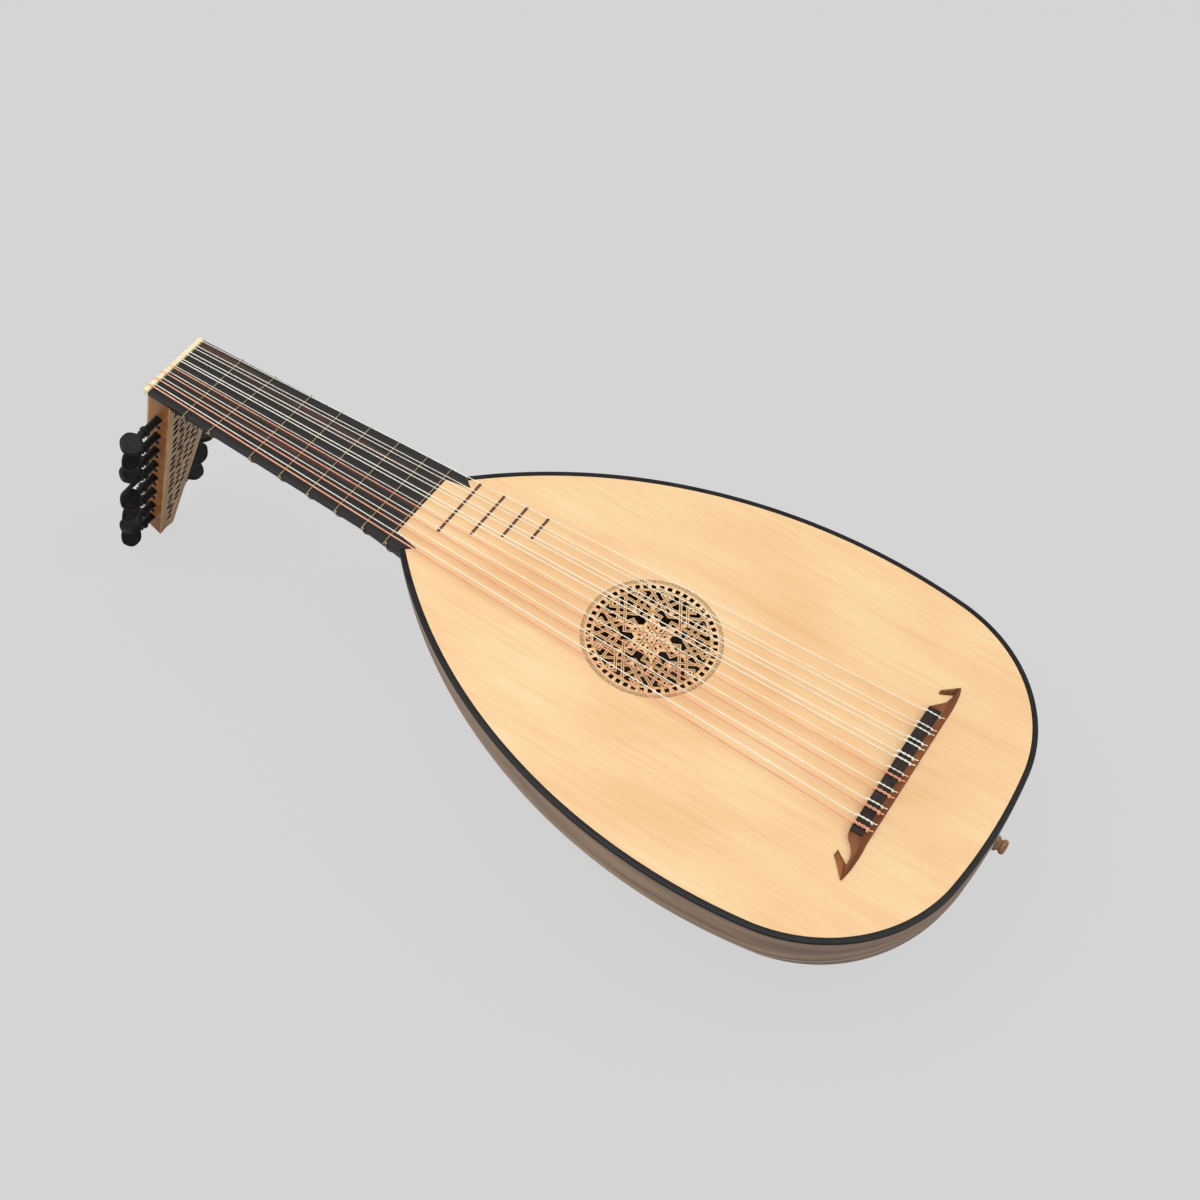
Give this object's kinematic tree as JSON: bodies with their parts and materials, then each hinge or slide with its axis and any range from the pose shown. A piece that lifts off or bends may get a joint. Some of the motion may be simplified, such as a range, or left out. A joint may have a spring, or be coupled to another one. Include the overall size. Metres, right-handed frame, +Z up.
{
  "type": "renaissance lute",
  "caption": "Plucked string instrument with a ribbed pear-shaped bowl, carved rose, bent-back pegbox and turning pegs.",
  "frame": {"origin": "centre of the bounding box on the ground, with the lute lying on its back", "axes": "+X from the pegbox towards the tail of the bowl, +Y towards the treble side, +Z up"},
  "size_m": [0.7547, 0.3194, 0.2109],
  "materials": {
    "spruce": "satin varnish over straight, fine spruce grain",
    "ebony": "satin, near black with brown streaks",
    "rib_wood": "satin varnish, grey brown",
    "cheek_wood": "satin varnish, red brown",
    "plate_wood": "satin varnish",
    "bridge_wood": "satin, red brown",
    "button_wood": "polished, dark brown",
    "peg_wood": "satin, near black",
    "ivory": "polished bone",
    "gut": "smooth gut",
    "copper_gut": "red brown wound gut"
  },
  "bodies": {
    "lute_body": {"soundboard": "spruce", "edge_binding": "ebony", "fingerboard": "ebony", "neck": "ebony", "nut": "ivory", "cheek_bass": "cheek_wood", "cheek_treble": "cheek_wood", "pegbox_back_plate": "plate_wood", "bridge": "bridge_wood", "bridge_tie_cap": "ebony", "strap_button": "button_wood", "rib_01": "rib_wood", "rib_02": "rib_wood", "rib_03": "rib_wood", "rib_04": "rib_wood", "rib_05": "rib_wood", "rib_06": "rib_wood", "rib_07": "rib_wood", "rib_08": "rib_wood", "rib_09": "rib_wood", "rib_10": "rib_wood", "rib_11": "rib_wood", "fret_1": "gut", "fret_2": "gut", "fret_3": "gut", "fret_4": "gut", "fret_5": "gut", "fret_6": "gut", "fret_7": "gut", "fret_8": "gut", "string_01": "gut", "string_02": "gut", "string_03": "gut", "string_04": "gut", "string_05": "gut", "string_06": "gut", "string_07": "gut", "string_08": "gut", "string_09": "copper_gut", "string_10": "gut", "string_11": "copper_gut", "string_12": "gut", "string_13": "copper_gut", "string_14": "gut", "string_15": "copper_gut"},
    "peg_bass_1": {"peg_bass_1": "peg_wood"},
    "peg_bass_2": {"peg_bass_2": "peg_wood"},
    "peg_bass_3": {"peg_bass_3": "peg_wood"},
    "peg_bass_4": {"peg_bass_4": "peg_wood"},
    "peg_bass_5": {"peg_bass_5": "peg_wood"},
    "peg_bass_6": {"peg_bass_6": "peg_wood"},
    "peg_bass_7": {"peg_bass_7": "peg_wood"},
    "peg_bass_8": {"peg_bass_8": "peg_wood"},
    "peg_treble_1": {"peg_treble_1": "peg_wood"},
    "peg_treble_2": {"peg_treble_2": "peg_wood"},
    "peg_treble_3": {"peg_treble_3": "peg_wood"},
    "peg_treble_4": {"peg_treble_4": "peg_wood"},
    "peg_treble_5": {"peg_treble_5": "peg_wood"},
    "peg_treble_6": {"peg_treble_6": "peg_wood"},
    "peg_treble_7": {"peg_treble_7": "peg_wood"}
  },
  "joints": [
    {"name": "peg_bass_1_turn", "type": "hinge", "parent": "lute_body", "child": "peg_bass_1", "pos_m": [-0.30434, 0, 0.17892], "axis": [0, 1, 0], "continuous": true},
    {"name": "peg_bass_2_turn", "type": "hinge", "parent": "lute_body", "child": "peg_bass_2", "pos_m": [-0.31361, 0, 0.15495], "axis": [0, 1, 0], "continuous": true},
    {"name": "peg_bass_3_turn", "type": "hinge", "parent": "lute_body", "child": "peg_bass_3", "pos_m": [-0.32194, 0, 0.13342], "axis": [0, 1, 0], "continuous": true},
    {"name": "peg_bass_4_turn", "type": "hinge", "parent": "lute_body", "child": "peg_bass_4", "pos_m": [-0.33046, 0, 0.11141], "axis": [0, 1, 0], "continuous": true},
    {"name": "peg_bass_5_turn", "type": "hinge", "parent": "lute_body", "child": "peg_bass_5", "pos_m": [-0.33887, 0, 0.08967], "axis": [0, 1, 0], "continuous": true},
    {"name": "peg_bass_6_turn", "type": "hinge", "parent": "lute_body", "child": "peg_bass_6", "pos_m": [-0.34738, 0, 0.06766], "axis": [0, 1, 0], "continuous": true},
    {"name": "peg_bass_7_turn", "type": "hinge", "parent": "lute_body", "child": "peg_bass_7", "pos_m": [-0.3564, 0, 0.04434], "axis": [0, 1, 0], "continuous": true},
    {"name": "peg_bass_8_turn", "type": "hinge", "parent": "lute_body", "child": "peg_bass_8", "pos_m": [-0.36438, 0, 0.02373], "axis": [0, 1, 0], "continuous": true},
    {"name": "peg_treble_1_turn", "type": "hinge", "parent": "lute_body", "child": "peg_treble_1", "pos_m": [-0.30899, 0, 0.1669], "axis": [0, 1, 0], "continuous": true},
    {"name": "peg_treble_2_turn", "type": "hinge", "parent": "lute_body", "child": "peg_treble_2", "pos_m": [-0.31776, 0, 0.14424], "axis": [0, 1, 0], "continuous": true},
    {"name": "peg_treble_3_turn", "type": "hinge", "parent": "lute_body", "child": "peg_treble_3", "pos_m": [-0.3262, 0, 0.12241], "axis": [0, 1, 0], "continuous": true},
    {"name": "peg_treble_4_turn", "type": "hinge", "parent": "lute_body", "child": "peg_treble_4", "pos_m": [-0.33464, 0, 0.10059], "axis": [0, 1, 0], "continuous": true},
    {"name": "peg_treble_5_turn", "type": "hinge", "parent": "lute_body", "child": "peg_treble_5", "pos_m": [-0.34313, 0, 0.07866], "axis": [0, 1, 0], "continuous": true},
    {"name": "peg_treble_6_turn", "type": "hinge", "parent": "lute_body", "child": "peg_treble_6", "pos_m": [-0.35189, 0, 0.056], "axis": [0, 1, 0], "continuous": true},
    {"name": "peg_treble_7_turn", "type": "hinge", "parent": "lute_body", "child": "peg_treble_7", "pos_m": [-0.36037, 0, 0.0341], "axis": [0, 1, 0], "continuous": true}
  ]
}
